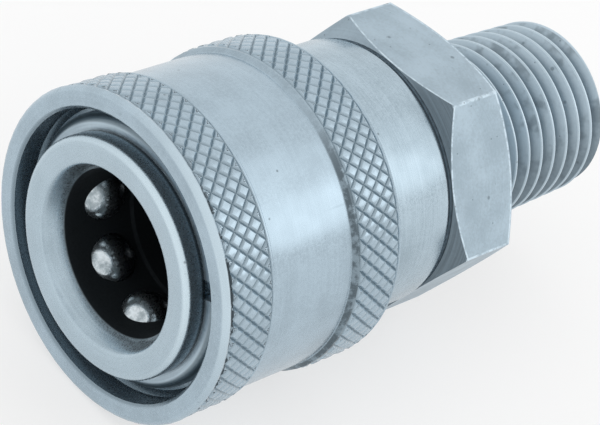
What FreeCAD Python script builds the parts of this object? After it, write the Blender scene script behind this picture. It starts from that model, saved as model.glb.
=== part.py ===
"""Ball-lock quick coupling, socket half, with a tapered male thread.

The axis of the coupling is X, and +X runs from the nose, where the mating plug
enters, to the male thread. Places along X are measured from the nose face. The
finished sub-parts are moved so that the origin is the centre of the hexagon's
rear face, where the thread starts. Two flats of the hexagon are level. All
lengths are in millimetres.
"""

import FreeCAD
import Part
import math
import os

# Locking balls, held in pockets round the ball cage
BALL_COUNT = 8
BALL_R = 1.985
BALL_PHASE_DEG = -6.9
BALL_INTRUSION = 1.1
BALL_PROUD = 0.27
BALL_LIFT = 1.0
POCKET_CLEARANCE = 0.035

# Mouth and ball cage of the socket body
CAGE_BORE_R = 5.7
CAGE_FRONT_WALL = 0.28
CAGE_END_CLEARANCE = 0.215
NOSE_EDGE = 0.15
MOUTH_CLEARANCE = 0.45
MOUTH_ROUND = 0.45
MOUTH_LAND_END = 1.55
LEAD_IN_LENGTH = 0.5

# Socket behind the balls for the plug's ridge, and pilot bore for its tip
SOCKET_STEP = 0.2
SOCKET_LENGTH = 2.2
PILOT_LEAD_IN = 0.7
PILOT_FRONT_LAND = 1.65
PILOT_BACK_LAND = 1.05
FLOOR_THICKNESS = 1.2

# Seal ring in the pilot bore
SEAL_SECTION_R = 0.89
SEAL_GROOVE_WIDTH = 2.3
SEAL_INTRUSION = 0.25
SEAL_SEAT_CLEARANCE = 0.03

# Snap ring that keeps the sleeve on the nose
RING_X = 1.55
RING_THICKNESS = 1.0
RING_PROUD = 1.1
RING_EDGE = 0.2
RING_GAP = 1.3
RING_GAP_DEG = 157.8
RING_GROOVE_DEPTH = 0.5
RING_SIDE_CLEARANCE = 0.05
RING_SEAT_CLEARANCE = 0.05

# Guide that the skirt of the sleeve slides over
GUIDE_STEP = 1.35
GUIDE_EDGE = 0.25

# Screwed joint between the socket body and the end adapter
TAPPED_WALL = 3.05
TAPPED_DEPTH = 6.2
TAPPED_EDGE = 0.4
SPIGOT_CLEARANCE = 0.05
SPIGOT_EDGE = 0.3
WASHER_THICKNESS = 1.0
WASHER_INNER_CLEARANCE = 0.3
WASHER_OUTER_CLEARANCE = 0.15

# Hexagon for the spanner, with a turned collar in front of it
HEX_ACROSS_FLATS = 19.05
HEX_LENGTH = 5.95
HEX_CHAMFER_DEG = 30.0
COLLAR_LENGTH = 0.35
COLLAR_STEP = 0.225

# Tapered male thread and the waterway
THREAD_LENGTH = 13.9
PIPE_R = 6.858
THREAD_TAPER = 1.0 / 32.0
THREAD_PITCH = 1.411
THREAD_DEPTH = 0.86
THREAD_CREST = 0.16
THREAD_ROOT = 0.12
THREAD_OVERCUT = 0.06
THREAD_START_DEG = -25.2
THREAD_CHAMFER = 0.55
SHANK_LENGTH = 1.5
WATERWAY_R = 3.6
WATERWAY_EDGE = 0.4

# Sliding sleeve
SLEEVE_X = 0.4
SLEEVE_WALL = 1.5
SLEEVE_FRONT_ROUND = 0.45
SLEEVE_REAR_EDGE = 0.3
FRONT_BAND_WIDTH = 4.25
REAR_BAND_WIDTH = 4.0
WAIST_DEPTH = 0.44
WAIST_SLOPE = 0.4
GRIP_RIM = 0.5
RECESS_CLEARANCE = 0.6
RECESS_EDGE = 0.2
RECESS_CORNER = 0.35
LAND_CLEARANCE = 0.08
LAND_LENGTH = 0.6
SKIRT_CLEARANCE = 0.08
SKIRT_OVERLAP = 1.0
CAM_CLEARANCE = 0.03
SLEEVE_TRAVEL = 5.0

# Diamond knurl rolled into both grip bands
KNURL_COUNT = 64
KNURL_ROWS = 3
KNURL_DEPTH = 0.3
KNURL_ROOT_WALL = 0.3

# Return spring, at its length with the sleeve forward
SPRING_LENGTH = 8.4
SPRING_WIRE_R = 0.45
SPRING_TURNS = 3.5

AXIS_POINT = FreeCAD.Vector(0, 0, 0)
AXIS_DIRECTION = FreeCAD.Vector(1, 0, 0)


def point(x, r):
    """A point of a turning profile, x along the axis and r from it."""
    return FreeCAD.Vector(x, 0, r)


def line(start, end):
    return Part.LineSegment(point(*start), point(*end)).toShape()


def arc(start, middle, end):
    return Part.Arc(point(*start), point(*middle), point(*end)).toShape()


def turned(edges):
    """The solid that a closed profile of edges makes round the axis."""
    face = Part.Face(Part.Wire(Part.__sortEdges__(edges)))
    return face.revolve(AXIS_POINT, AXIS_DIRECTION, 360)


def chain(points):
    """Straight edges through the points, in order."""
    return [line(a, b) for a, b in zip(points, points[1:])]


def quarter_round(centre, radius, from_deg, to_deg):
    """An arc of a quarter turn about a centre, in the profile's plane."""
    angles = [math.radians(a) for a in (from_deg, (from_deg + to_deg) / 2, to_deg)]
    ends = [(centre[0] + radius * math.cos(a), centre[1] + radius * math.sin(a)) for a in angles]
    return arc(*ends), ends[0], ends[2]


# Radii that follow from the sizes above
pilot_r = CAGE_BORE_R - BALL_INTRUSION
ball_rest_r = pilot_r + BALL_R
pocket_r = BALL_R + POCKET_CLEARANCE
socket_r = CAGE_BORE_R - SOCKET_STEP
mouth_r = CAGE_BORE_R + MOUTH_CLEARANCE
nose_r = ball_rest_r + BALL_R - BALL_PROUD
ring_groove_r = nose_r - RING_GROOVE_DEPTH
ring_r = nose_r + RING_PROUD
guide_r = nose_r + GUIDE_STEP
recess_r = ring_r + RECESS_CLEARANCE
sleeve_r = recess_r + SLEEVE_WALL
waist_r = sleeve_r - WAIST_DEPTH
land_r = nose_r + LAND_CLEARANCE
skirt_r = guide_r + SKIRT_CLEARANCE
tapped_r = guide_r - TAPPED_WALL
spigot_r = tapped_r - SPIGOT_CLEARANCE
collar_r = HEX_ACROSS_FLATS / 2 - COLLAR_STEP
seal_groove_r = pilot_r - SEAL_INTRUSION + 2 * SEAL_SECTION_R + SEAL_SEAT_CLEARANCE
thread_end_r = PIPE_R - THREAD_TAPER * (THREAD_LENGTH - SHANK_LENGTH)

# Cone of the sleeve, which leaves room for the balls in step with its travel
cam_slope = BALL_LIFT / SLEEVE_TRAVEL
cam_r_over_ball = ball_rest_r + (BALL_R + CAM_CLEARANCE) * math.hypot(1.0, cam_slope)

# Places along the axis that follow, from the nose face
ring_end = RING_X + RING_THICKNESS
ring_groove_end = ring_end + RING_SIDE_CLEARANCE
ball_x = ring_groove_end + CAGE_FRONT_WALL + pocket_r
cage_end = ball_x + BALL_R + CAGE_END_CLEARANCE
socket_start = cage_end + SOCKET_STEP
socket_end = socket_start + SOCKET_LENGTH
pilot_start = socket_end + PILOT_LEAD_IN
seal_groove_start = pilot_start + PILOT_FRONT_LAND
seal_groove_end = seal_groove_start + SEAL_GROOVE_WIDTH
pilot_end = seal_groove_end + PILOT_BACK_LAND
tapped_floor = pilot_end + FLOOR_THICKNESS
guide_end = tapped_floor + TAPPED_DEPTH
spigot_start = tapped_floor + WASHER_THICKNESS
hex_start = guide_end + COLLAR_LENGTH
hex_end = hex_start + HEX_LENGTH
shank_end = hex_end + SHANK_LENGTH
thread_end = hex_end + THREAD_LENGTH
shoulder_r = cam_r_over_ball + cam_slope * (ball_x - ring_end)
land_start = ball_x + (cam_r_over_ball - land_r) / cam_slope
land_end = land_start + LAND_LENGTH
guide_start = land_end + SPRING_LENGTH
sleeve_end = guide_start + SKIRT_OVERLAP
front_band_end = SLEEVE_X + FRONT_BAND_WIDTH
rear_band_start = sleeve_end - REAR_BAND_WIDTH
front_grip = (SLEEVE_X + SLEEVE_FRONT_ROUND + GRIP_RIM / 2, front_band_end - GRIP_RIM / 2)
rear_grip = (rear_band_start + GRIP_RIM, sleeve_end - SLEEVE_REAR_EDGE - GRIP_RIM / 2)


def socket_outline():
    """Points of the socket body's outside, from the nose face to its rear face."""
    return [
        (0, nose_r - NOSE_EDGE),
        (NOSE_EDGE, nose_r),
        (RING_X, nose_r),
        (RING_X, ring_groove_r),
        (ring_groove_end, ring_groove_r),
        (ring_groove_end, nose_r),
        (guide_start, nose_r),
        (guide_start, guide_r - GUIDE_EDGE),
        (guide_start + GUIDE_EDGE, guide_r),
        (guide_end - GUIDE_EDGE, guide_r),
        (guide_end, guide_r - GUIDE_EDGE),
    ]


def socket_bore():
    """Points of the stepped bore, from the tapped rear end back to the mouth."""
    return [
        (guide_end, tapped_r + TAPPED_EDGE),
        (guide_end - TAPPED_EDGE, tapped_r),
        (tapped_floor, tapped_r),
        (tapped_floor, WATERWAY_R),
        (pilot_end + WATERWAY_EDGE, WATERWAY_R),
        (pilot_end, WATERWAY_R + WATERWAY_EDGE),
        (pilot_end, pilot_r),
        (seal_groove_end, pilot_r),
        (seal_groove_end, seal_groove_r),
        (seal_groove_start, seal_groove_r),
        (seal_groove_start, pilot_r),
        (pilot_start, pilot_r),
        (socket_end, socket_r),
        (socket_start, socket_r),
        (cage_end, CAGE_BORE_R),
        (MOUTH_LAND_END + LEAD_IN_LENGTH, CAGE_BORE_R),
        (MOUTH_LAND_END, mouth_r),
        (MOUTH_ROUND, mouth_r),
    ]


def hexagon():
    """The spanner hexagon, its corners turned off to a cone at both faces."""
    corner_r = HEX_ACROSS_FLATS / math.sqrt(3.0)
    corners = []
    for i in range(7):
        turn = math.radians(60.0 * i)
        corners.append(FreeCAD.Vector(hex_start, corner_r * math.cos(turn), corner_r * math.sin(turn)))
    prism = Part.Face(Part.makePolygon(corners)).extrude(FreeCAD.Vector(HEX_LENGTH, 0, 0))
    flat_r = HEX_ACROSS_FLATS / 2
    over_corner = corner_r + 1.0
    cone_run = (over_corner - flat_r) * math.tan(math.radians(HEX_CHAMFER_DEG))
    barrel = turned(
        chain(
            [
                (hex_start, 0),
                (hex_start, flat_r),
                (hex_start + cone_run, over_corner),
                (hex_end - cone_run, over_corner),
                (hex_end, flat_r),
                (hex_end, 0),
                (hex_start, 0),
            ]
        )
    )
    bore = Part.makeCylinder(WATERWAY_R, HEX_LENGTH, FreeCAD.Vector(hex_start, 0, 0), AXIS_DIRECTION)
    return prism.common(barrel).cut(bore)


def thread_turn(index, turns):
    """The groove between the threads over one turn, counted from beyond the small end."""
    start = thread_end + THREAD_PITCH * (1 - index)
    crest_r = PIPE_R - THREAD_TAPER * (start - shank_end)
    open_half = (THREAD_PITCH - THREAD_CREST) / 2
    top_half = open_half + (open_half - THREAD_ROOT / 2) * THREAD_OVERCUT / THREAD_DEPTH
    section = [
        FreeCAD.Vector(crest_r - THREAD_DEPTH, 0, -THREAD_ROOT / 2),
        FreeCAD.Vector(crest_r - THREAD_DEPTH, 0, THREAD_ROOT / 2),
        FreeCAD.Vector(crest_r + THREAD_OVERCUT, 0, top_half),
        FreeCAD.Vector(crest_r + THREAD_CHAMFER, 0, top_half),
        FreeCAD.Vector(crest_r + THREAD_CHAMFER, 0, -top_half),
        FreeCAD.Vector(crest_r + THREAD_OVERCUT, 0, -top_half),
    ]
    helix = Part.makeHelix(THREAD_PITCH, THREAD_PITCH * turns, crest_r, math.degrees(math.atan(THREAD_TAPER)))
    groove = Part.Wire(helix).makePipeShell([Part.makePolygon(section + section[:1])], True, True)
    groove.rotate(AXIS_POINT, FreeCAD.Vector(0, 1, 0), -90)
    groove.rotate(AXIS_POINT, AXIS_DIRECTION, THREAD_START_DEG)
    groove.translate(FreeCAD.Vector(start, 0, 0))
    return groove


def cut_thread(blank):
    """Winds the groove down the cone, turn by turn, to where the plain shank begins."""
    turns = (thread_end - shank_end) / THREAD_PITCH + 0.5
    for index in range(math.ceil(turns)):
        blank = blank.cut(thread_turn(index, min(1.0, turns - index)))
    return blank


def end_adapter():
    """Spigot that screws into the socket body, hexagon and tapered thread."""
    chamfer_r = thread_end_r + THREAD_TAPER * THREAD_CHAMFER
    turning = turned(
        chain(
            [
                (spigot_start, WATERWAY_R),
                (spigot_start, spigot_r - SPIGOT_EDGE),
                (spigot_start + SPIGOT_EDGE, spigot_r),
                (guide_end, spigot_r),
                (guide_end, collar_r),
                (hex_end, collar_r),
                (hex_end, PIPE_R),
                (shank_end, PIPE_R),
                (thread_end - THREAD_CHAMFER, chamfer_r),
                (thread_end, chamfer_r - THREAD_CHAMFER),
                (thread_end, WATERWAY_R + WATERWAY_EDGE),
                (thread_end - WATERWAY_EDGE, WATERWAY_R),
                (spigot_start, WATERWAY_R),
            ]
        )
    )
    return cut_thread(turning).fuse(hexagon()).removeSplitter()


def joint_washer():
    """Flat sealing washer at the bottom of the screwed joint."""
    outer_r = tapped_r - WASHER_OUTER_CLEARANCE
    inner_r = WATERWAY_R + WASHER_INNER_CLEARANCE
    start = FreeCAD.Vector(tapped_floor, 0, 0)
    disc = Part.makeCylinder(outer_r, WASHER_THICKNESS, start, AXIS_DIRECTION)
    return disc.cut(Part.makeCylinder(inner_r, WASHER_THICKNESS, start, AXIS_DIRECTION))


def ball_direction(index):
    """The way that a locking ball travels outwards, as a unit vector."""
    turn = math.radians(BALL_PHASE_DEG + 360.0 * index / BALL_COUNT)
    return FreeCAD.Vector(0, math.cos(turn), math.sin(turn))


def ball_centre(index):
    return FreeCAD.Vector(ball_x, 0, 0) + ball_direction(index) * ball_rest_r


def ball_pocket(index):
    """The room of one ball: round at the bottom, open outwards, a lip at the socket."""
    half = pocket_r * math.sqrt(0.5)
    tip = point(0, -pocket_r)
    rim = point(pocket_r, 0)
    outer = point(pocket_r, nose_r)
    middle = point(0, nose_r)
    edges = [
        Part.Arc(tip, point(half, -half), rim).toShape(),
        Part.makeLine(rim, outer),
        Part.makeLine(outer, middle),
        Part.makeLine(middle, tip),
    ]
    half_section = Part.Face(Part.Wire(Part.__sortEdges__(edges)))
    upright = FreeCAD.Vector(0, 0, 1)
    drill = half_section.revolve(AXIS_POINT, upright, 360)
    turn = FreeCAD.Rotation(upright, ball_direction(index))
    drill.Placement = FreeCAD.Placement(ball_centre(index), turn)
    return drill


def socket_body():
    """Nose, ball cage, stepped bore and sleeve guide, turned from one bar."""
    outside = socket_outline()
    bore = socket_bore()
    lip_centre = (MOUTH_ROUND, mouth_r + MOUTH_ROUND)
    lip, lip_start, lip_end = quarter_round(lip_centre, MOUTH_ROUND, 270, 180)
    edges = chain(outside + bore[:-1] + [lip_start]) + [lip, line(lip_end, outside[0])]
    return turned(edges).cut([ball_pocket(index) for index in range(BALL_COUNT)])


def on_sleeve(x, turns, r):
    """A point of the knurl, turns in pitches of the knurl round the sleeve."""
    angle = 2 * math.pi * turns / KNURL_COUNT
    return FreeCAD.Vector(x, r * math.cos(angle), r * math.sin(angle))


def facet(corners):
    return Part.Face(Part.makePolygon(corners + corners[:1]))


def diamond(x, turns, half_length):
    """The four faces of one raised diamond, pointed in the middle."""
    root_r = sleeve_r - KNURL_DEPTH
    corners = [
        on_sleeve(x - half_length, turns, root_r),
        on_sleeve(x, turns + 0.5, root_r),
        on_sleeve(x + half_length, turns, root_r),
        on_sleeve(x, turns - 0.5, root_r),
    ]
    peak = on_sleeve(x, turns, sleeve_r)
    return [facet([peak, a, b]) for a, b in zip(corners, corners[1:] + corners[:1])]


def knurl_end(x, inward):
    """The low triangles between the diamonds at one end of a band, and its ring face."""
    root_r = sleeve_r - KNURL_DEPTH
    rim = [on_sleeve(x, column, root_r) for column in range(KNURL_COUNT)]
    faces = []
    for column in range(KNURL_COUNT):
        tip = on_sleeve(x + inward, column + 0.5, root_r)
        faces.append(facet([rim[column], rim[(column + 1) % KNURL_COUNT], tip]))
    inner = Part.Wire(Part.makeCircle(root_r - KNURL_ROOT_WALL, FreeCAD.Vector(x, 0, 0), AXIS_DIRECTION))
    outer = Part.makePolygon(rim + rim[:1])
    return faces + [Part.makeFace([outer, inner], "Part::FaceMakerBullseye")]


def knurl_band(start, end):
    """A ring with crossed rows of diamonds round its outside."""
    half_length = (end - start) / KNURL_ROWS / 2
    faces = knurl_end(start, half_length) + knurl_end(end, -half_length)
    for row in range(1, 2 * KNURL_ROWS):
        offset = 0.0 if row % 2 else 0.5
        for column in range(KNURL_COUNT):
            faces += diamond(start + half_length * row, column + offset, half_length)
    base = FreeCAD.Vector(start, 0, 0)
    core = Part.makeCylinder(sleeve_r - KNURL_DEPTH - KNURL_ROOT_WALL, end - start, base, AXIS_DIRECTION)
    faces.append(core.Faces[0])
    skin = Part.Compound(faces)
    skin.sewShape()
    ring = Part.makeSolid(skin.Shells[0])
    if ring.Volume < 0:
        ring.reverse()
    return ring


def grip_seat(grip):
    """Points of the shallow seat that a knurled band fills."""
    start, end = grip
    seat_r = sleeve_r - KNURL_DEPTH - KNURL_ROOT_WALL
    return [(start, sleeve_r), (start, seat_r), (end, seat_r), (end, sleeve_r)]


def sleeve():
    """Release sleeve: two knurled grip bands, ball cam, spring chamber and skirt."""
    rim_centre = (SLEEVE_X + SLEEVE_FRONT_ROUND, sleeve_r - SLEEVE_FRONT_ROUND)
    rim, rim_start, rim_end = quarter_round(rim_centre, SLEEVE_FRONT_ROUND, 180, 90)
    outside = [
        rim_end,
        *grip_seat(front_grip),
        (front_band_end, sleeve_r),
        (front_band_end + WAIST_SLOPE, waist_r),
        (rear_band_start - WAIST_SLOPE, waist_r),
        (rear_band_start, sleeve_r),
        *grip_seat(rear_grip),
        (sleeve_end - SLEEVE_REAR_EDGE, sleeve_r),
        (sleeve_end, sleeve_r - SLEEVE_REAR_EDGE),
    ]
    inside = [
        (sleeve_end, skirt_r + SLEEVE_REAR_EDGE),
        (sleeve_end - SLEEVE_REAR_EDGE, skirt_r),
        (land_end, skirt_r),
        (land_end, land_r),
        (land_start, land_r),
        (ring_end, shoulder_r),
        (ring_end, recess_r - RECESS_CORNER),
        (ring_end - RECESS_CORNER, recess_r),
        (SLEEVE_X + RECESS_EDGE, recess_r),
        (SLEEVE_X, recess_r + RECESS_EDGE),
    ]
    turning = turned([rim] + chain(outside + inside + [rim_start]))
    return turning.fuse([knurl_band(*front_grip), knurl_band(*rear_grip)])


def snap_ring():
    """Open spring-steel ring in the groove of the nose."""
    inner_r = ring_groove_r + RING_SEAT_CLEARANCE
    ring = turned(
        chain(
            [
                (RING_X, inner_r),
                (RING_X, ring_r - RING_EDGE),
                (RING_X + RING_EDGE, ring_r),
                (ring_end, ring_r),
                (ring_end, inner_r),
                (RING_X, inner_r),
            ]
        )
    )
    slot = Part.makeBox(3 * RING_THICKNESS, ring_r, RING_GAP)
    slot.translate(FreeCAD.Vector(RING_X - RING_THICKNESS, ring_groove_r / 2, -RING_GAP / 2))
    slot.rotate(AXIS_POINT, AXIS_DIRECTION, RING_GAP_DEG)
    return ring.cut(slot)


def plug_seal():
    """Round-section seal that grips the tip of the plug."""
    major_r = seal_groove_r - SEAL_SEAT_CLEARANCE - SEAL_SECTION_R
    middle = FreeCAD.Vector((seal_groove_start + seal_groove_end) / 2, 0, 0)
    return Part.makeTorus(major_r, SEAL_SECTION_R, middle, AXIS_DIRECTION)


def return_spring():
    """Helical spring with ground ends, between the sleeve's land and the guide."""
    mean_r = (nose_r + skirt_r) / 2
    helix = Part.makeHelix(SPRING_LENGTH / SPRING_TURNS, SPRING_LENGTH, mean_r)
    start = FreeCAD.Vector(mean_r, 0, 0)
    section = Part.Wire(Part.makeCircle(SPRING_WIRE_R, start, FreeCAD.Vector(0, 1, 0)))
    coil = Part.Wire(helix).makePipeShell([section], True, True)
    coil.rotate(AXIS_POINT, FreeCAD.Vector(0, 1, 0), 90)
    coil.translate(FreeCAD.Vector(land_end, 0, 0))
    seat = FreeCAD.Vector(land_end, 0, 0)
    chamber = Part.makeCylinder(sleeve_r, SPRING_LENGTH, seat, AXIS_DIRECTION)
    return coil.common(chamber)


def save(name, shape):
    """Moves one sub-part to the finished frame and writes it."""
    shape.translate(FreeCAD.Vector(-hex_end, 0, 0))
    if not shape.isValid() or not shape.Solids:
        raise ValueError(name + " is not a valid solid")
    if len(shape.Solids) == 1:
        shape = shape.Solids[0]
    shape.exportStep(os.path.join("parts", name + ".step"))
    print(name, len(shape.Solids), round(shape.Volume, 2))


def main():
    os.makedirs("parts", exist_ok=True)
    save("socket_body", socket_body())
    save("end_adapter", end_adapter())
    save("joint_washer", joint_washer())
    save("plug_seal", plug_seal())
    save("snap_ring", snap_ring())
    save("sleeve", sleeve())
    save("return_spring", return_spring())
    for index in range(BALL_COUNT):
        save("lock_ball_%d" % (index + 1), Part.makeSphere(BALL_R, ball_centre(index)))


main()
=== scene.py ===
import math

import bmesh
import bpy
from mathutils import Matrix, Vector


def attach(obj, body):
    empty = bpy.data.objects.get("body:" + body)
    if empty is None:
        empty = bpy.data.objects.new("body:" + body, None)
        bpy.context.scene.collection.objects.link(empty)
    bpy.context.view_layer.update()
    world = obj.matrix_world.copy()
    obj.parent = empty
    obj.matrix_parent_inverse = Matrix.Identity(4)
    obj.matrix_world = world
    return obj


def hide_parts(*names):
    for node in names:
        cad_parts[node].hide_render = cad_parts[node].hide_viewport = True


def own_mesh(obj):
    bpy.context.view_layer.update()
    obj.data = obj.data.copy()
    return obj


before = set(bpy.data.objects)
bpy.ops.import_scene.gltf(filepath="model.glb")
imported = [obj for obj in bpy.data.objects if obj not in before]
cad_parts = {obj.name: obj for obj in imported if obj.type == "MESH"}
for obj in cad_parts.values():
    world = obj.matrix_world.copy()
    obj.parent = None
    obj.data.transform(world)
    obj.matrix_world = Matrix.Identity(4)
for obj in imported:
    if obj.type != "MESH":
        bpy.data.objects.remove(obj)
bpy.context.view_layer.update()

# Sizes in millimetres, X from the nose face as the maker's drawing has it
MM = 0.001
NOSE_TO_ORIGIN = 28.9
TURN_STEPS = 128

# Sleeve
SLEEVE_R = 11.5
SLEEVE_START = 0.4
SLEEVE_END = 16.2
RIM_CORNER = 0.45
WAIST_R = 11.06
RECESS_R = 10.0
CHAMBER_R = 9.73
LAND_R = 8.38
LAND_START = 6.2
LAND_END = 6.8
CAM_START = 2.55
CAM_START_R = 9.11
FRONT_GRIP = (1.05, 4.55)
REAR_GRIP = (12.3, 15.85)
KNURL_COLUMNS = 64
KNURL_ROWS = 3
KNURL_DEPTH = 0.22
KNURL_GAP = 0.15

# Socket body
NOSE_R = 8.3
NOSE_CORNER = 0.42
FUNNEL = [(1.5, 5.8), (1.0, 6.0), (0.6, 6.18), (0.32, 6.31), (0.16, 6.4), (0.05, 6.5), (0.0, 6.62)]
RING_GROOVE = (1.55, 2.6)
RING_GROOVE_R = 7.8
CAGE_START = 2.05
CAGE_BORE_R = 5.7
SOCKET_R = 5.5
PILOT_R = 4.6
PILOT_END = 15.2
SEAL_GROOVE = (11.85, 14.15)
SEAL_GROOVE_R = 6.16
WATERWAY_R = 3.6
TAPPED_START = 16.4
TAPPED_R = 6.6
GUIDE_R = 9.65
GUIDE_START = 15.2
GUIDE_END = 22.6
GUIDE_START_CORNER = 0.25
GUIDE_END_CORNER = 0.35

# End adapter
HEX_START = 22.95
HEX_END = 28.9
HEX_ACROSS_FLATS = 19.05
HEX_FLAT_R = HEX_ACROSS_FLATS / 2
HEX_CORNER_R = HEX_ACROSS_FLATS / math.sqrt(3)
HEX_CORNER_SLOPE = math.tan(math.radians(30))
CORE_OUTER_R = HEX_FLAT_R - 0.225
CORE_INNER_R = 6.1
CORE_START_R = 6.858
CORE_END_R = 6.488
SPIGOT_START = 17.4
SPIGOT_R = 6.55
THREAD_END = 42.8
THREAD_PITCH = 1.411
THREAD_TAPER = 1.0 / 32.0
THREAD_START_R = 6.905
THREAD_DEPTH = 0.86
THREAD_SHANK = 1.3
THREAD_GROOVES = 11
CREST_WIDTH = 0.16

# Snap ring and balls
RING_START = 1.55
RING_END = 2.55
RING_INSIDE_R = 7.87
RING_OUTSIDE_R = 9.4
RING_GAP = 1.3
RING_GAP_DEG = 157.8
BALL_R = 1.985
BALL_X = 4.9
BALL_REST_R = 6.585
BALL_PHASE_DEG = -6.9
BALL_COUNT = 8
POCKET_PLAY = 0.035
POCKET_HEIGHT = 4.5

# Camera that took the photograph, in the row frame in millimetres
CAMERA_PLACE = (-119.5384, -82.6735, 100.9176)
CAMERA_RIGHT = (0.724367, -0.641835, 0.251673)
CAMERA_UP = (0.26532, 0.59647, 0.757515)
CAMERA_BACK = (-0.636315, -0.481945, 0.602355)
CAMERA_LENS = 146.952
CAMERA_SENSOR = 36.0

# Floor and light, places in metres and lamps in watts
FLOOR_SIZE = 4.0
FLOOR_HEIGHT = -0.0116
FLOOR_GREY = 0.36
FLOOR_GLOW = 0.6
WORLD_LEVEL = 0.95
LAMPS = [
    ("softbox_low", (0.33, -0.36, 0.225), 0.24, 0.09),
    ("softbox_high", (0.25, -0.28, 0.29), 0.4, 0.19),
]


# Turning, cutting and finishing, as on a bench

def deselect():
    bpy.ops.object.select_all(action="DESELECT")


def only(piece):
    deselect()
    piece.select_set(True)
    bpy.context.view_layer.objects.active = piece


def start_edit(piece):
    only(piece)
    bpy.ops.object.mode_set(mode="EDIT")


def end_edit():
    bpy.ops.object.mode_set(mode="OBJECT")


def select_by(kind):
    bpy.ops.mesh.select_mode(type=kind)


def pick(piece, kind, wanted):
    """Selects the vertices, edges or faces that the test wants, in edit mode."""
    mesh = bmesh.from_edit_mesh(piece.data)
    for group in (mesh.verts, mesh.edges, mesh.faces):
        for element in group:
            element.select = False
    for element in getattr(mesh, kind):
        if wanted(element):
            element.select_set(True)
    mesh.select_flush_mode()
    bmesh.update_edit_mesh(piece.data)


def is_open(edge):
    return len(edge.link_faces) == 1


def face_outwards():
    bpy.ops.mesh.select_all(action="SELECT")
    bpy.ops.mesh.normals_make_consistent(inside=False)


def settle(piece):
    """Puts the piece's place into its mesh, with its object at the origin."""
    only(piece)
    bpy.ops.object.transform_apply(location=True, rotation=True, scale=True)
    bpy.context.scene.cursor.location = (0, 0, 0)
    bpy.ops.object.origin_set(type="ORIGIN_CURSOR")


def along(x):
    """A place on the drawing's axis, in the row frame, in metres."""
    return (x - NOSE_TO_ORIGIN) * MM


def turned(name, profile, steps=TURN_STEPS):
    """A closed piece turned from a ring that is drawn out along the profile of (x, radius)."""
    deselect()
    x, r = profile[0]
    bpy.ops.mesh.primitive_circle_add(
        vertices=steps, radius=r * MM, location=(along(x), 0, 0), rotation=(0, math.pi / 2, 0)
    )
    piece = bpy.context.active_object
    piece.name = name
    settle(piece)
    start_edit(piece)
    select_by("EDGE")
    bpy.ops.mesh.select_all(action="SELECT")
    for next_x, next_r in profile[1:]:
        bpy.ops.mesh.extrude_edges_move(
            TRANSFORM_OT_translate={"value": ((next_x - x) * MM, 0, 0), "orient_type": "GLOBAL"}
        )
        ratio = next_r / r
        if abs(ratio - 1) > 1e-9:
            bpy.ops.transform.resize(
                value=(1, ratio, ratio), center_override=(0, 0, 0), orient_type="GLOBAL"
            )
        x, r = next_x, next_r
    pick(piece, "edges", is_open)
    bpy.ops.mesh.bridge_edge_loops()
    face_outwards()
    end_edit()
    return piece


def round_points(centre_x, centre_r, radius, from_deg, to_deg, count):
    """Points of a profile round a corner."""
    points = []
    for i in range(count + 1):
        turn = math.radians(from_deg + (to_deg - from_deg) * i / count)
        points.append((centre_x + radius * math.cos(turn), centre_r + radius * math.sin(turn)))
    return points


def finish_modifier(piece, modifier):
    only(piece)
    bpy.ops.object.modifier_apply(modifier=modifier.name)


def break_edges(piece, width, angle):
    """Rounds the sharp edges by a little, as deburring does."""
    bevel = piece.modifiers.new("edges", "BEVEL")
    bevel.width = width * MM
    bevel.segments = 2
    bevel.limit_method = "ANGLE"
    bevel.angle_limit = math.radians(angle)
    finish_modifier(piece, bevel)


def cut_away(piece, tool, keep_common=False):
    """Takes the tool out of the piece, or keeps what they share."""
    boolean = piece.modifiers.new("cut", "BOOLEAN")
    boolean.operation = "INTERSECT" if keep_common else "DIFFERENCE"
    boolean.solver = "EXACT"
    boolean.object = tool
    finish_modifier(piece, boolean)
    bpy.data.objects.remove(tool, do_unlink=True)


def smooth(piece, angle):
    only(piece)
    bpy.ops.object.shade_smooth_by_angle(angle=math.radians(angle))


def dress(piece, material):
    piece.data.materials.clear()
    piece.data.materials.append(material)


# The sleeve

def knurl(piece, grip, depth, soften):
    """Rolls crossed grooves into a band of the 64-sided turning."""
    low, high = along(grip[0]), along(grip[1])
    base = (SLEEVE_R - KNURL_DEPTH) * MM

    def in_band(face):
        middle = face.calc_center_median()
        return low < middle.x < high and math.hypot(middle.y, middle.z) > base * 0.99

    def is_grid_edge(edge):
        a, b = edge.verts
        if len(edge.link_faces) != 2 or not all(in_band(face) for face in edge.link_faces):
            return False
        level = abs(a.co.x - b.co.x) < 1e-7
        straight = abs(math.atan2(a.co.z, a.co.y) - math.atan2(b.co.z, b.co.y)) < 1e-4
        return level or straight

    start_edit(piece)
    select_by("FACE")
    pick(piece, "faces", in_band)
    bpy.ops.mesh.poke()
    select_by("EDGE")
    pick(piece, "edges", is_grid_edge)
    bpy.ops.mesh.dissolve_edges(use_verts=False)
    select_by("FACE")
    pick(piece, "faces", in_band)
    for width, part in ((KNURL_GAP, 0.85), (soften, 0.15)):
        bpy.ops.mesh.inset(thickness=width * MM, depth=depth * part * MM, use_individual=True)
    end_edit()


def grip_rows(grip):
    start, end = grip
    base = SLEEVE_R - KNURL_DEPTH
    return [(start + (end - start) * i / KNURL_ROWS, base) for i in range(KNURL_ROWS + 1)]


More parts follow.
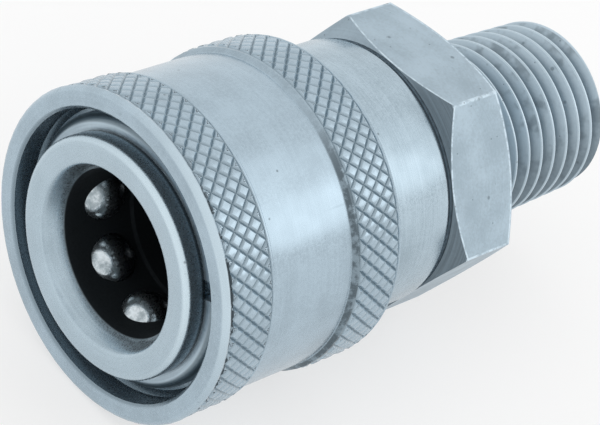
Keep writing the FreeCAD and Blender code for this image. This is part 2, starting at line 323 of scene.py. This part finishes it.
def make_sleeve():
    rim = round_points(SLEEVE_START + RIM_CORNER, SLEEVE_R - RIM_CORNER, RIM_CORNER, 180, 100, 4)
    outside = (
        [(SLEEVE_START, RECESS_R + 0.2)]
        + rim
        + [(0.98, 11.42)]
        + grip_rows(FRONT_GRIP)
        + [(4.62, 11.36), (4.72, 11.36), (5.0, WAIST_R), (11.75, WAIST_R), (12.05, 11.38), (12.2, 11.4)]
        + grip_rows(REAR_GRIP)
        + [(15.92, 11.38), (16.02, 11.36), (SLEEVE_END, 11.2)]
    )
    inside = [
        (SLEEVE_END, CHAMBER_R + 0.3),
        (SLEEVE_END - 0.3, CHAMBER_R),
        (LAND_END, CHAMBER_R),
        (LAND_END, LAND_R),
        (LAND_START, LAND_R),
        (CAM_START, CAM_START_R),
        (CAM_START, RECESS_R - 0.35),
        (CAM_START - 0.35, RECESS_R),
        (SLEEVE_START + 0.2, RECESS_R),
    ]
    piece = turned("sleeve_shell", outside + inside, steps=KNURL_COLUMNS)
    knurl(piece, FRONT_GRIP, depth=0.17, soften=0.12)
    knurl(piece, REAR_GRIP, depth=0.19, soften=0.1)
    smooth(piece, 30)
    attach(piece, "sleeve")
    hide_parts("sleeve")
    return piece


# The socket body

def ball_turn(index):
    return math.radians(BALL_PHASE_DEG + 360.0 * index / BALL_COUNT)


def ball_middle(index):
    turn = ball_turn(index)
    return Vector((along(BALL_X), BALL_REST_R * MM * math.cos(turn), BALL_REST_R * MM * math.sin(turn)))


def pocket_tool():
    """Eight round-ended drills in one piece, standing in the ball pockets."""
    drills = []
    for index in range(BALL_COUNT):
        deselect()
        bpy.ops.mesh.primitive_uv_sphere_add(
            segments=32, ring_count=16, radius=(BALL_R + POCKET_PLAY) * MM, location=(0, 0, 0)
        )
        drill = bpy.context.active_object
        start_edit(drill)
        select_by("VERT")
        pick(drill, "verts", lambda vert: vert.co.z > 1e-6)
        bpy.ops.mesh.delete(type="VERT")
        select_by("EDGE")
        pick(drill, "edges", is_open)
        bpy.ops.mesh.extrude_edges_move(TRANSFORM_OT_translate={"value": (0, 0, POCKET_HEIGHT * MM)})
        bpy.ops.mesh.edge_face_add()
        end_edit()
        drill.rotation_euler = (ball_turn(index) - math.pi / 2, 0, 0)
        drill.location = ball_middle(index)
        drills.append(drill)
    deselect()
    for drill in drills:
        drill.select_set(True)
    bpy.context.view_layer.objects.active = drills[0]
    bpy.ops.object.join()
    tool = bpy.context.active_object
    settle(tool)
    return tool


def make_socket_body():
    ring_start, ring_end = RING_GROOVE
    seal_start, seal_end = SEAL_GROOVE
    nose = round_points(NOSE_CORNER, NOSE_R - NOSE_CORNER, NOSE_CORNER, 180, 90, 6)
    guide_end = round_points(
        GUIDE_END - GUIDE_END_CORNER, GUIDE_R - GUIDE_END_CORNER, GUIDE_END_CORNER, 90, 0, 5
    )
    outside = (
        nose
        + [(ring_start, NOSE_R), (ring_start, RING_GROOVE_R), (ring_end, RING_GROOVE_R), (ring_end, NOSE_R)]
        + [(GUIDE_START, NOSE_R), (GUIDE_START, GUIDE_R - GUIDE_START_CORNER)]
        + [(GUIDE_START + GUIDE_START_CORNER, GUIDE_R), (18.0, GUIDE_R), (20.0, GUIDE_R)]
        + guide_end
    )
    inside = (
        [(GUIDE_END, TAPPED_R + 0.4), (GUIDE_END - 0.4, TAPPED_R), (TAPPED_START, TAPPED_R)]
        + [(TAPPED_START, WATERWAY_R), (15.6, WATERWAY_R), (PILOT_END, 4.0), (PILOT_END, PILOT_R)]
        + [(seal_end, PILOT_R), (seal_end, SEAL_GROOVE_R), (seal_start, SEAL_GROOVE_R)]
        + [(seal_start, PILOT_R), (10.2, PILOT_R), (9.5, SOCKET_R), (7.3, SOCKET_R)]
        + [(7.1, CAGE_BORE_R), (CAGE_START, CAGE_BORE_R)]
        + FUNNEL
    )
    piece = turned("socket_shell", outside + inside)
    cut_away(piece, pocket_tool())
    smooth(piece, 30)
    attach(piece, "fitting")
    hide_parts("socket_body")
    return piece


# The end adapter with its hexagon and thread

def hexagon_bar():
    """A hexagonal bar between the hexagon's two faces, its corners turned off."""
    length = HEX_END - HEX_START
    deselect()
    bpy.ops.mesh.primitive_cylinder_add(
        vertices=6,
        radius=HEX_CORNER_R * MM,
        depth=length * MM,
        location=(along(HEX_START + length / 2), 0, 0),
        rotation=(0, math.pi / 2, 0),
    )
    bar = bpy.context.active_object
    settle(bar)
    corner_turn = math.atan2(bar.data.vertices[0].co.z, bar.data.vertices[0].co.y)
    bar.rotation_euler = (-corner_turn, 0, 0)
    settle(bar)
    over = 1.7
    run = over * HEX_CORNER_SLOPE
    barrel = turned(
        "barrel",
        [(HEX_START, 6.0), (HEX_START, HEX_FLAT_R), (HEX_START + run, HEX_FLAT_R + over)]
        + [(HEX_END - run, HEX_FLAT_R + over), (HEX_END, HEX_FLAT_R), (HEX_END, 6.0)],
        steps=192,
    )
    cut_away(bar, barrel, keep_common=True)
    return bar


def thread_tool(start, turns):
    """The groove between the threads, as a closed wedge wound along the cone."""
    half = (THREAD_PITCH - CREST_WIDTH) / 2
    root = THREAD_START_R - THREAD_DEPTH
    rise = 0.35
    top = THREAD_START_R + rise
    wide = half + rise * half / THREAD_DEPTH
    bpy.ops.mesh.primitive_circle_add(vertices=4, radius=MM, location=(0, 0, 0), rotation=(0, 0, 0))
    tool = bpy.context.active_object
    corners = [(-0.06, root), (0.06, root), (wide, top), (-wide, top)]
    for vert, (x, r) in zip(tool.data.vertices, corners):
        vert.co = Vector((along(start + x), 0, r * MM))
    screw = tool.modifiers.new("wind", "SCREW")
    screw.axis = "X"
    screw.angle = math.radians(360)
    screw.screw_offset = THREAD_PITCH * MM
    screw.iterations = turns
    screw.steps = 96
    screw.render_steps = 96
    screw.use_merge_vertices = False
    finish_modifier(tool, screw)
    start_edit(tool)
    select_by("EDGE")
    pick(tool, "edges", is_open)
    bpy.ops.mesh.edge_face_add()
    select_by("VERT")
    face_outwards()
    end_edit()
    for vert in tool.data.vertices:
        shrink = 1 - THREAD_TAPER * vert.co.x / MM / THREAD_START_R
        vert.co.y *= shrink
        vert.co.z *= shrink
    return tool


def make_adapter(steel):
    """The hexagon and the threaded core, in one piece and dressed before they are joined."""
    piece = hexagon_bar()
    dress(piece, steel)
    break_edges(piece, 0.09, angle=20)
    piece.name = "adapter_shell"
    core = turned(
        "core",
        [(SPIGOT_START, WATERWAY_R), (SPIGOT_START, 6.25), (SPIGOT_START + 0.3, SPIGOT_R)]
        + [(GUIDE_END, SPIGOT_R), (GUIDE_END, CORE_OUTER_R), (HEX_START + 0.2, CORE_OUTER_R)]
        + [(HEX_START + 0.2, CORE_INNER_R), (HEX_END - 0.2, CORE_INNER_R), (HEX_END - 0.2, CORE_START_R)]
        + [(HEX_END + 1.5, CORE_START_R), (THREAD_END - 0.55, CORE_END_R), (THREAD_END - 0.08, 6.0)]
        + [(THREAD_END, 5.94), (THREAD_END, WATERWAY_R + 0.4), (THREAD_END - 0.4, WATERWAY_R)],
        steps=160,
    )
    cut_away(core, thread_tool(HEX_END + THREAD_SHANK - THREAD_PITCH, THREAD_GROOVES))
    dress(core, steel)
    smooth(core, 30)
    smooth(piece, 30)
    core.select_set(True)
    bpy.ops.object.join()
    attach(piece, "fitting")
    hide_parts("end_adapter")


# Small parts

def make_snap_ring():
    ring = turned(
        "snap_ring_wire",
        [(RING_START, RING_INSIDE_R), (RING_START, 8.85), (1.6, 9.0), (1.75, 9.2), (1.98, 9.35)]
        + [(2.2, RING_OUTSIDE_R), (2.45, RING_OUTSIDE_R), (RING_END, 9.3), (RING_END, RING_INSIDE_R)],
        steps=144,
    )
    deselect()
    bpy.ops.mesh.primitive_cube_add(size=1, location=(0, 0, 0))
    slot = bpy.context.active_object
    slot.scale = (3 * MM, 4 * MM, RING_GAP * MM)
    slot.location = (along(2.0), 8.7 * MM, 0)
    settle(slot)
    slot.rotation_euler = (math.radians(RING_GAP_DEG), 0, 0)
    settle(slot)
    cut_away(ring, slot)
    break_edges(ring, 0.06, angle=28)
    smooth(ring, 35)
    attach(ring, "fitting")
    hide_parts("snap_ring")
    return ring


def make_balls():
    deselect()
    bpy.ops.mesh.primitive_cube_add(size=2 * BALL_R * MM, location=(0, 0, 0))
    first = bpy.context.active_object
    start_edit(first)
    bpy.ops.mesh.select_all(action="SELECT")
    bpy.ops.mesh.subdivide(number_cuts=15)
    bpy.ops.transform.tosphere(value=1.0)
    end_edit()
    ratio = BALL_R * MM / first.data.vertices[0].co.length
    first.scale = (ratio, ratio, ratio)
    settle(first)
    smooth(first, 60)
    balls = []
    for index in range(BALL_COUNT):
        ball = first.copy()
        ball.data = first.data.copy()
        bpy.context.collection.objects.link(ball)
        ball.name = "ball_%d_polished" % (index + 1)
        ball.rotation_euler = (0.7 * index, 1.1 * index, 0.4 * index)
        ball.location = ball_middle(index)
        settle(ball)
        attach(ball, "ball_%d" % (index + 1))
        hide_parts("lock_ball_%d" % (index + 1))
        balls.append(ball)
    bpy.data.objects.remove(first, do_unlink=True)
    return balls


# Nodes that the finishes are made of

def new_material(name, metallic, roughness):
    material = bpy.data.materials.new(name)
    material.use_nodes = True
    shader = material.node_tree.nodes["Principled BSDF"]
    shader.inputs["Metallic"].default_value = metallic
    shader.inputs["Roughness"].default_value = roughness
    return material


def feed(material, value, socket):
    """Links a socket or sets a number or colour on it."""
    if isinstance(value, bpy.types.NodeSocket):
        material.node_tree.links.new(value, socket)
    elif isinstance(value, tuple) and len(value) == 3 and len(socket.default_value) == 4:
        socket.default_value = (*value, 1)
    else:
        socket.default_value = value


def node(material, kind, inputs=(), **settings):
    """Adds a node, with its settings, and with values or links for its inputs in order."""
    made = material.node_tree.nodes.new("ShaderNode" + kind)
    for key, value in settings.items():
        setattr(made, key, value)
    for socket, value in zip(made.inputs, inputs):
        feed(material, value, socket)
    return made


def maths(material, operation, *values):
    return node(material, "Math", values, operation=operation).outputs[0]


def step_between(material, value, low, high, to_low=0.0, to_high=1.0):
    """A value that goes from to_low to to_high while the given one goes from low to high."""
    given = (value, low, high, to_low, to_high)
    return node(material, "MapRange", given, interpolation_type="SMOOTHSTEP", clamp=True).outputs[0]


def blend(material, share, first, second):
    """Mixes two colours."""
    made = node(material, "Mix", data_type="RGBA", blend_type="MIX", clamp_result=False)
    feed(material, share, made.inputs[0])
    feed(material, first, made.inputs[6])
    feed(material, second, made.inputs[7])
    return made.outputs[2]


def together(material, *shares):
    """The product of some shares."""
    product = shares[0]
    for share in shares[1:]:
        product = maths(material, "MULTIPLY", product, share)
    return product


def tint(material, colour, over, *shares):
    """Lays a second colour over the first by the product of the shares."""
    return blend(material, together(material, *shares), colour, over)


class Turning:
    """Where a point of a turned piece is: its place along the axis and its radius, in mm."""

    def __init__(self, material):
        self.material = material
        spot = node(material, "TexCoord").outputs["Object"]
        self.spot = self.scaled(spot, 1.0 / MM)
        parts = node(material, "SeparateXYZ", [self.spot]).outputs
        self.x = maths(material, "ADD", parts[0], NOSE_TO_ORIGIN)
        self.y = parts[1]
        self.z = parts[2]
        across = node(material, "CombineXYZ", [0.0, parts[1], parts[2]]).outputs[0]
        self.r = node(material, "VectorMath", [across], operation="LENGTH").outputs["Value"]
        self.round = node(material, "VectorMath", [across], operation="NORMALIZE").outputs[0]

    def scaled(self, vector, factor):
        made = node(self.material, "VectorMath", [vector], operation="SCALE")
        made.inputs["Scale"].default_value = factor
        return made.outputs[0]

    def step(self, value, low, high, to_low=0.0, to_high=1.0):
        return step_between(self.material, value, low, high, to_low, to_high)

    def band(self, value, start, end, blur):
        """One between two values, fading to nothing over the blur outside them."""
        return together(
            self.material, self.step(value, start - blur, start), self.step(value, end + blur, end)
        )

    def cloud(self, place=None, scale=1.0, detail=3.0, roughness=0.55):
        noise = node(self.material, "TexNoise", noise_dimensions="3D")
        feed(self.material, place or self.spot, noise.inputs["Vector"])
        noise.inputs["Scale"].default_value = scale
        noise.inputs["Detail"].default_value = detail
        noise.inputs["Roughness"].default_value = roughness
        return noise.outputs["Fac"]

    def tool_marks(self, per_mm, slant=1.37, length=1.3):
        """Fine lines that run round the piece, on its faces too, as a turning tool leaves them."""
        m = self.material
        level = maths(m, "MULTIPLY", maths(m, "MULTIPLY_ADD", self.r, slant, self.x), per_mm)
        across = node(m, "SeparateXYZ", [self.scaled(self.round, length)]).outputs
        place = node(m, "CombineXYZ", [level, across[1], across[2]]).outputs[0]
        return self.cloud(place, detail=2.0)

    def pits(self, scale, rarity, size):
        """Small dark spots, thinly spread."""
        m = self.material
        cells = node(m, "TexVoronoi", feature="F1")
        feed(m, self.spot, cells.inputs["Vector"])
        cells.inputs["Scale"].default_value = scale
        near = self.step(cells.outputs["Distance"], size, size * 0.4)
        chosen = node(m, "SeparateColor", [cells.outputs["Color"]]).outputs[0]
        return together(m, near, maths(m, "LESS_THAN", chosen, rarity))

    def scratches(self):
        """A few fine scratches that run slantwise round the piece."""
        slant = node(self.material, "Mapping", [self.spot])
        slant.inputs["Rotation"].default_value = (0.5, 0.9, 0.35)
        slant.inputs["Scale"].default_value = (0.12, 1.6, 1.6)
        return self.step(self.cloud(slant.outputs[0], detail=2.0), 0.7, 0.76)


def finish(turning, colour, roughness, height, depth):
    """Joins colour, roughness and a height in mm to the material's shader."""
    m = turning.material
    shader = m.node_tree.nodes["Principled BSDF"]
    feed(m, colour, shader.inputs["Base Color"])
    feed(m, roughness, shader.inputs["Roughness"])
    bump = node(m, "Bump")
    bump.inputs["Strength"].default_value = 1.0
    bump.inputs["Distance"].default_value = depth * MM
    feed(m, height, bump.inputs["Height"])
    feed(m, bump.outputs[0], shader.inputs["Normal"])
    return m


# Finishes, with colours as linear red, green and blue, and places in millimetres

PIT_COLOUR = (0.12, 0.15, 0.17)
# Colour of the painted highlight on the sleeve's rim
RIM_HIGHLIGHT = (0.62, 0.75, 0.83)
DEEP_SHADE = (0.15, 0.195, 0.23)
SOFT_SHADE = (0.24, 0.31, 0.36)
RIM_SHADE_LINE = (0.92, 1.18)
SHOULDER = (11.82, 12.2)


def satin_steel(turning, low, high, line=0.5, per_mm=9.0):
    """The common look of the turned stainless steel: its colour, its lines and its grain."""
    m = turning.material
    lines = turning.tool_marks(per_mm)
    broad = turning.cloud(scale=0.35, detail=2.0)
    grain = turning.cloud(scale=5.0, detail=3.0, roughness=0.6)
    mottled = maths(m, "MULTIPLY_ADD", grain, 0.45, together(m, broad, 0.55))
    tone = maths(m, "MULTIPLY_ADD", lines, line, together(m, mottled, 1.0 - line))
    return blend(m, turning.step(tone, 0.35, 0.65), low, high), lines, grain


def sleeve_finish():
    m = new_material("sleeve_satin_steel", 0.8, 0.36)
    t = Turning(m)
    colour, lines, grain = satin_steel(t, (0.37, 0.465, 0.535), (0.455, 0.57, 0.655), line=0.18)
    outer = t.step(t.r, WAIST_R - 0.16, WAIST_R - 0.06)
    grips = maths(m, "ADD", t.band(t.x, *FRONT_GRIP, 0.05), t.band(t.x, *REAR_GRIP, 0.05))
    groove = t.step(t.r, SLEEVE_R - 0.07, SLEEVE_R - 0.25)
    # Painted shade: the knurl's grooves are painted darker the deeper they go, standing in for the shade in
    # them
    colour = tint(m, colour, (0.26, 0.335, 0.385), grips, outer, groove)
    ragged_noise = t.cloud(scale=1.1, detail=4.0, roughness=0.7)
    # Share of painted shade that grows towards the -Y side
    shaded_minus_y_side = t.step(t.y, -2.0, -8.0, 0.2, 1.0)
    # Painted shade with ragged edges on the shoulder before the rear grip, strongest on the -Y side
    shoulder_shade_colour = blend(m, t.step(ragged_noise, 0.4, 0.56), SOFT_SHADE, (0.11, 0.145, 0.17))
    colour = tint(m, colour, shoulder_shade_colour, t.band(t.x, *SHOULDER, 0.08), outer, shaded_minus_y_side)
    # Painted shade: a thin dark ragged line behind the rim, on the -Y side
    rim_shade_line = together(m, t.band(t.x, *RIM_SHADE_LINE, 0.03), outer, t.step(ragged_noise, 0.44, 0.5), shaded_minus_y_side)
    colour = tint(m, colour, (0.06, 0.08, 0.095), rim_shade_line)
    # Painted highlight: the rim's outer rounding is painted bright on its upper and -Y side
    rim_painted_highlight = together(m, t.step(t.r, SLEEVE_R - 0.45, SLEEVE_R - 0.25), t.step(t.x, 0.98, 0.8))
    upper, near = t.step(t.z, -6.0, 5.0, 0.1, 0.8), t.step(t.y, 4.0, -7.0, 0.15, 1.0)
    colour = tint(m, colour, RIM_HIGHLIGHT, rim_painted_highlight, upper, near)
    # Painted shade: the sleeve's inside is painted darker
    colour = tint(m, colour, SOFT_SHADE, t.step(t.r, RECESS_R + 0.25, RECESS_R + 0.05))
    pits = t.pits(0.55, 0.3, 0.07)
    colour = tint(m, colour, PIT_COLOUR, pits, 0.7)
    colour = tint(m, colour, (0.2, 0.26, 0.3), t.scratches(), 0.2)
    roughness = t.step(grain, 0.35, 0.7, 0.2, 0.3)
    height = maths(m, "MULTIPLY_ADD", lines, 0.4, together(m, grain, 0.7))
    return finish(t, colour, roughness, maths(m, "SUBTRACT", height, pits), 0.002)


def body_finish():
    m = new_material("body_turned_steel", 0.75, 0.4)
    t = Turning(m)
    colour, lines, grain = satin_steel(
        t, (0.36, 0.455, 0.52), (0.49, 0.605, 0.685), line=0.3, per_mm=13.0
    )
    behind_nose = t.step(t.x, NOSE_CORNER - 0.12, NOSE_CORNER)
    before_guide = t.step(t.x, GUIDE_START + 0.1, GUIDE_START - 0.2)
    # Painted shade: the nose's outer side, facing the sleeve's recess, is painted dark slate
    side = together(m, t.step(t.r, NOSE_R - 0.1, NOSE_R - 0.02), before_guide, behind_nose)
    colour = tint(m, colour, (0.23, 0.3, 0.35), side)
    # Painted shadow: a near-black line where the nose side meets the snap ring's groove
    colour = tint(m, colour, (0.02, 0.027, 0.032), side, t.step(t.x, 1.22, 1.42), 0.95)
    # Painted light: the nose face is painted brighter
    colour = tint(m, colour, (0.53, 0.65, 0.73), t.step(t.x, 0.16, 0.08), 0.55)
    before_corner = t.step(t.x, NOSE_CORNER, NOSE_CORNER - 0.12)
    # Painted highlight: the nose's outer rounding is painted bright on its upper and -Y side
    nose_painted_highlight = together(m, t.step(t.r, NOSE_R - 0.55, NOSE_R - 0.25), before_corner)
    upper, near = t.step(t.z, -6.0, 4.0, 0.15, 1.0), t.step(t.y, 5.0, -5.0, 0.3, 1.0)
    colour = tint(m, colour, (0.72, 0.86, 0.94), nose_painted_highlight, upper, near, 0.8)
    mouth = together(m, t.step(t.r, 6.5, 6.35), t.step(t.x, 0.1, 0.5))
    # Painted light: the mouth's wall is painted lighter
    colour = tint(m, colour, (0.6, 0.73, 0.81), mouth, 0.25)
    # Painted shade: the mouth's wall is painted darker on its +Y side, growing upwards
    mouth_painted_shade = together(m, t.step(t.y, 1.0, 5.0), t.step(t.z, -1.8, 0.6, 0.0, 0.5))
    colour = tint(m, colour, DEEP_SHADE, mouth, mouth_painted_shade)
    # Darker finish and painted shade: the bore behind the mouth is painted near black
    inner = together(m, t.step(t.r, 6.4, 6.15), t.step(t.x, 1.4, 1.6))
    colour = tint(m, colour, (0.016, 0.021, 0.025), inner)
    pits = t.pits(0.8, 0.2, 0.1)
    colour = tint(m, colour, PIT_COLOUR, pits, 0.6)
    roughness = maths(m, "MULTIPLY_ADD", inner, 0.5, t.step(grain, 0.35, 0.7, 0.24, 0.36))
    height = maths(m, "MULTIPLY_ADD", grain, 0.35, lines)
    return finish(t, colour, roughness, maths(m, "SUBTRACT", height, pits), 0.003)


def hexagon_edges(t):
    """One on the cone turned on the hexagon's front, for its painted shade, and one along the edges of its
    flats, for their wear and painted highlight.
    """
    m = t.material
    drop = maths(m, "MULTIPLY", maths(m, "SUBTRACT", t.r, HEX_FLAT_R), HEX_CORNER_SLOPE)
    on_front = maths(m, "SUBTRACT", maths(m, "SUBTRACT", t.x, HEX_START), drop)
    on_rear = maths(m, "SUBTRACT", maths(m, "SUBTRACT", HEX_END, t.x), drop)
    outer = t.step(t.r, HEX_FLAT_R - 0.3, HEX_FLAT_R - 0.05)
    cone = together(m, t.step(on_front, 0.07, 0.03), outer)
    lines = maths(m, "MAXIMUM", t.band(on_front, 0.06, 0.16, 0.04), t.band(on_rear, 0.06, 0.16, 0.04))
    lines = maths(m, "MAXIMUM", lines, t.step(t.r, HEX_CORNER_R - 0.1, HEX_CORNER_R - 0.05))
    return cone, together(m, lines, outer)


def thread_colours(t, colour):
    """Crests painted pale as a highlight, flanks painted darker towards the roots and underneath as shade,
    stains on the flanks with painted shade near the hexagon, and the run-out at the hexagon painted dark as
    shade.
    """
    m = t.material
    crest_r = maths(m, "MULTIPLY_ADD", maths(m, "SUBTRACT", t.x, HEX_END), -THREAD_TAPER, THREAD_START_R)
    below = maths(m, "SUBTRACT", crest_r, t.r)
    thread = together(m, t.step(t.x, HEX_END, HEX_END + 0.1), t.step(t.r, 5.0, 5.2))
    stain = t.cloud(scale=0.5, detail=3.0)
    # Painted shade: the flanks are painted darker towards the roots
    flank = blend(m, t.step(below, 0.1, 0.8), (0.46, 0.565, 0.64), (0.22, 0.285, 0.335))
    # Painted shade: the flanks are painted darker on the underside
    flank = tint(m, flank, DEEP_SHADE, t.step(t.z, 4.5, -1.0), 0.75)
    # Stains along the flanks, and painted shade on the thread near the hexagon
    stains_and_hexagon_shade = maths(m, "MAXIMUM", t.step(t.x, HEX_END + 3.2, HEX_END + 1.0), t.step(stain, 0.5, 0.66))
    flank = tint(m, flank, (0.12, 0.157, 0.185), stains_and_hexagon_shade, 0.55)
    colour = tint(m, colour, flank, thread, t.step(below, 0.04, 0.12))
    # Painted highlight: the crests are painted pale
    colour = tint(m, colour, (0.62, 0.74, 0.82), thread, t.step(below, 0.12, 0.04), 0.7)
    # Painted shade: the run-out next to the hexagon is painted dark
    run_out = t.step(t.x, HEX_END + THREAD_SHANK, HEX_END + 0.9)
    return tint(m, colour, DEEP_SHADE, thread, run_out, 0.85)


def adapter_finish():
    m = new_material("adapter_milled_steel", 0.75, 0.4)
    t = Turning(m)
    colour, lines, grain = satin_steel(t, (0.345, 0.435, 0.5), (0.455, 0.565, 0.645), line=0.12)
    colour = thread_colours(t, colour)
    cone, worn_and_highlit_edges = hexagon_edges(t)
    cone_painted_shade = blend(m, t.step(lines, 0.3, 0.7), (0.14, 0.183, 0.215), (0.2, 0.258, 0.3))
    # Painted shade on the hexagon's front cone, darker towards the -Y side
    colour = tint(m, colour, cone_painted_shade, cone, t.step(t.y, 2.0, -4.0, 0.25, 1.0))
    # Wear and painted highlight: the edges of the hexagon's flats are painted bright in rubbed patches
    rubbed = t.step(t.cloud(scale=1.8, detail=4.0, roughness=0.7), 0.35, 0.6)
    colour = tint(m, colour, (0.64, 0.765, 0.85), worn_and_highlit_edges, rubbed)
    joint = together(m, t.step(t.x, HEX_START + 0.02, HEX_START - 0.05), t.step(t.r, 6.6, 6.8))
    colour = tint(m, colour, (0.07, 0.092, 0.11), joint)
    # Painted shade: the waterway bore is painted near black
    colour = tint(m, colour, (0.05, 0.065, 0.075), t.step(t.r, WATERWAY_R + 0.3, WATERWAY_R + 0.02))
    pits = maths(m, "MAXIMUM", t.pits(0.7, 0.3, 0.14), t.pits(1.7, 0.25, 0.14))
    colour = tint(m, colour, (0.12, 0.155, 0.18), pits, 0.6)
    roughness = t.step(grain, 0.35, 0.7, 0.34, 0.5)
    height = maths(m, "MULTIPLY_ADD", lines, 0.4, grain)
    return finish(t, colour, roughness, maths(m, "SUBTRACT", height, pits), 0.012)


def ring_finish():
    m = new_material("ring_spring_steel", 0.8, 0.35)
    t = Turning(m)
    colour, lines, grain = satin_steel(t, (0.36, 0.45, 0.52), (0.52, 0.64, 0.72), per_mm=4.0)
    # Painted shade: the ring's outer chamfer is painted darker
    colour = tint(m, colour, (0.2, 0.26, 0.3), t.step(t.r, 8.75, 8.95))
    return finish(t, colour, t.step(grain, 0.35, 0.7, 0.28, 0.44), lines, 0.004)


def ball_finish():
    m = new_material("ball_polished_steel", 0.95, 0.2)
    t = Turning(m)
    dents = t.cloud(scale=1.5, detail=4.0, roughness=0.6)
    fine = t.cloud(scale=9.0, detail=2.0)
    colour = blend(m, t.step(dents, 0.35, 0.65), (0.33, 0.39, 0.42), (0.68, 0.75, 0.79))
    # Painted shade: the deeper part of each ball, inside the bore, is painted near black
    sunk = t.step(t.x, BALL_X - 0.9, BALL_X + 0.5)
    colour = tint(m, colour, (0.05, 0.06, 0.068), sunk, 0.85)
    roughness = t.step(dents, 0.35, 0.7, 0.3, 0.14)
    return finish(t, colour, roughness, maths(m, "MULTIPLY_ADD", fine, 0.2, dents), 0.03)


def spring_finish():
    m = new_material("drawn_spring_wire", 0.8, 0.4)
    t = Turning(m)
    drawn = t.cloud(scale=5.0, detail=3.0)
    colour = blend(m, t.step(drawn, 0.35, 0.65), (0.24, 0.27, 0.29), (0.4, 0.44, 0.46))
    return finish(t, colour, t.step(drawn, 0.3, 0.7, 0.34, 0.5), drawn, 0.004)


def rubber_finish():
    m = new_material("seal_black_rubber", 0.0, 0.6)
    m.node_tree.nodes["Principled BSDF"].inputs["Specular IOR Level"].default_value = 0.15
    t = Turning(m)
    bloom = t.cloud(scale=2.5, detail=4.0)
    colour = blend(m, t.step(bloom, 0.4, 0.7), (0.012, 0.012, 0.013), (0.03, 0.031, 0.033))
    return finish(t, colour, t.step(bloom, 0.3, 0.7, 0.5, 0.68), bloom, 0.006)


def washer_finish():
    m = new_material("washer_pale_plastic", 0.0, 0.45)
    t = Turning(m)
    clouding = t.cloud(scale=1.2, detail=3.0)
    colour = blend(m, t.step(clouding, 0.3, 0.7), (0.66, 0.66, 0.62), (0.76, 0.76, 0.73))
    return finish(t, colour, t.step(clouding, 0.3, 0.7, 0.4, 0.52), clouding, 0.004)


# The pieces, made and dressed

dress(make_sleeve(), sleeve_finish())
dress(make_socket_body(), body_finish())
make_adapter(adapter_finish())
dress(make_snap_ring(), ring_finish())
polished = ball_finish()
for ball in make_balls():
    dress(ball, polished)
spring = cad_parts["return_spring"]
dress(spring, spring_finish())
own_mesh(spring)
dress(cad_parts["plug_seal"], rubber_finish())
dress(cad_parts["joint_washer"], washer_finish())


# Camera, floor and light

def place_camera():
    data = bpy.data.cameras.new("photo_camera")
    data.lens = CAMERA_LENS
    data.sensor_width = CAMERA_SENSOR
    data.sensor_fit = "HORIZONTAL"
    data.clip_start = 0.001
    data.clip_end = 10.0
    camera = bpy.data.objects.new("photo_camera", data)
    bpy.context.collection.objects.link(camera)
    turn = Matrix((CAMERA_RIGHT, CAMERA_UP, CAMERA_BACK)).transposed().to_4x4()
    camera.matrix_world = Matrix.Translation(Vector(CAMERA_PLACE) * MM) @ turn
    bpy.context.scene.camera = camera


def lay_floor():
    """A pale floor that is white where it is only looked at or mirrored, and keeps the shadow."""
    deselect()
    bpy.ops.mesh.primitive_plane_add(size=FLOOR_SIZE, location=(0, 0, FLOOR_HEIGHT))
    floor = bpy.context.active_object
    floor.name = "floor"
    m = new_material("pale_floor", 0.0, 0.9)
    shader = m.node_tree.nodes["Principled BSDF"]
    shader.inputs["Base Color"].default_value = (FLOOR_GREY, FLOOR_GREY, FLOOR_GREY, 1)
    shader.inputs["Emission Color"].default_value = (1, 1, 1, 1)
    path = node(m, "LightPath").outputs
    seen = maths(m, "MAXIMUM", path["Is Camera Ray"], path["Is Glossy Ray"])
    seen = maths(m, "MAXIMUM", seen, path["Is Transmission Ray"])
    feed(m, maths(m, "MULTIPLY", seen, FLOOR_GLOW), shader.inputs["Emission Strength"])
    dress(floor, m)


def light_world():
    world = bpy.data.worlds.new("studio")
    bpy.context.scene.world = world
    world.use_nodes = True
    background = world.node_tree.nodes["Background"]
    background.inputs["Color"].default_value = (1, 1, 1, 1)
    background.inputs["Strength"].default_value = WORLD_LEVEL


def add_lamp(name, place, size, power):
    """A square softbox that faces the object."""
    data = bpy.data.lights.new(name, "AREA")
    data.shape = "SQUARE"
    data.size = size
    data.energy = power
    lamp = bpy.data.objects.new(name, data)
    bpy.context.collection.objects.link(lamp)
    lamp.location = place
    lamp.rotation_euler = (-Vector(place)).to_track_quat("-Z", "Y").to_euler()


place_camera()
lay_floor()
light_world()
for lamp in LAMPS:
    add_lamp(*lamp)
bpy.context.scene.view_settings.view_transform = "Standard"
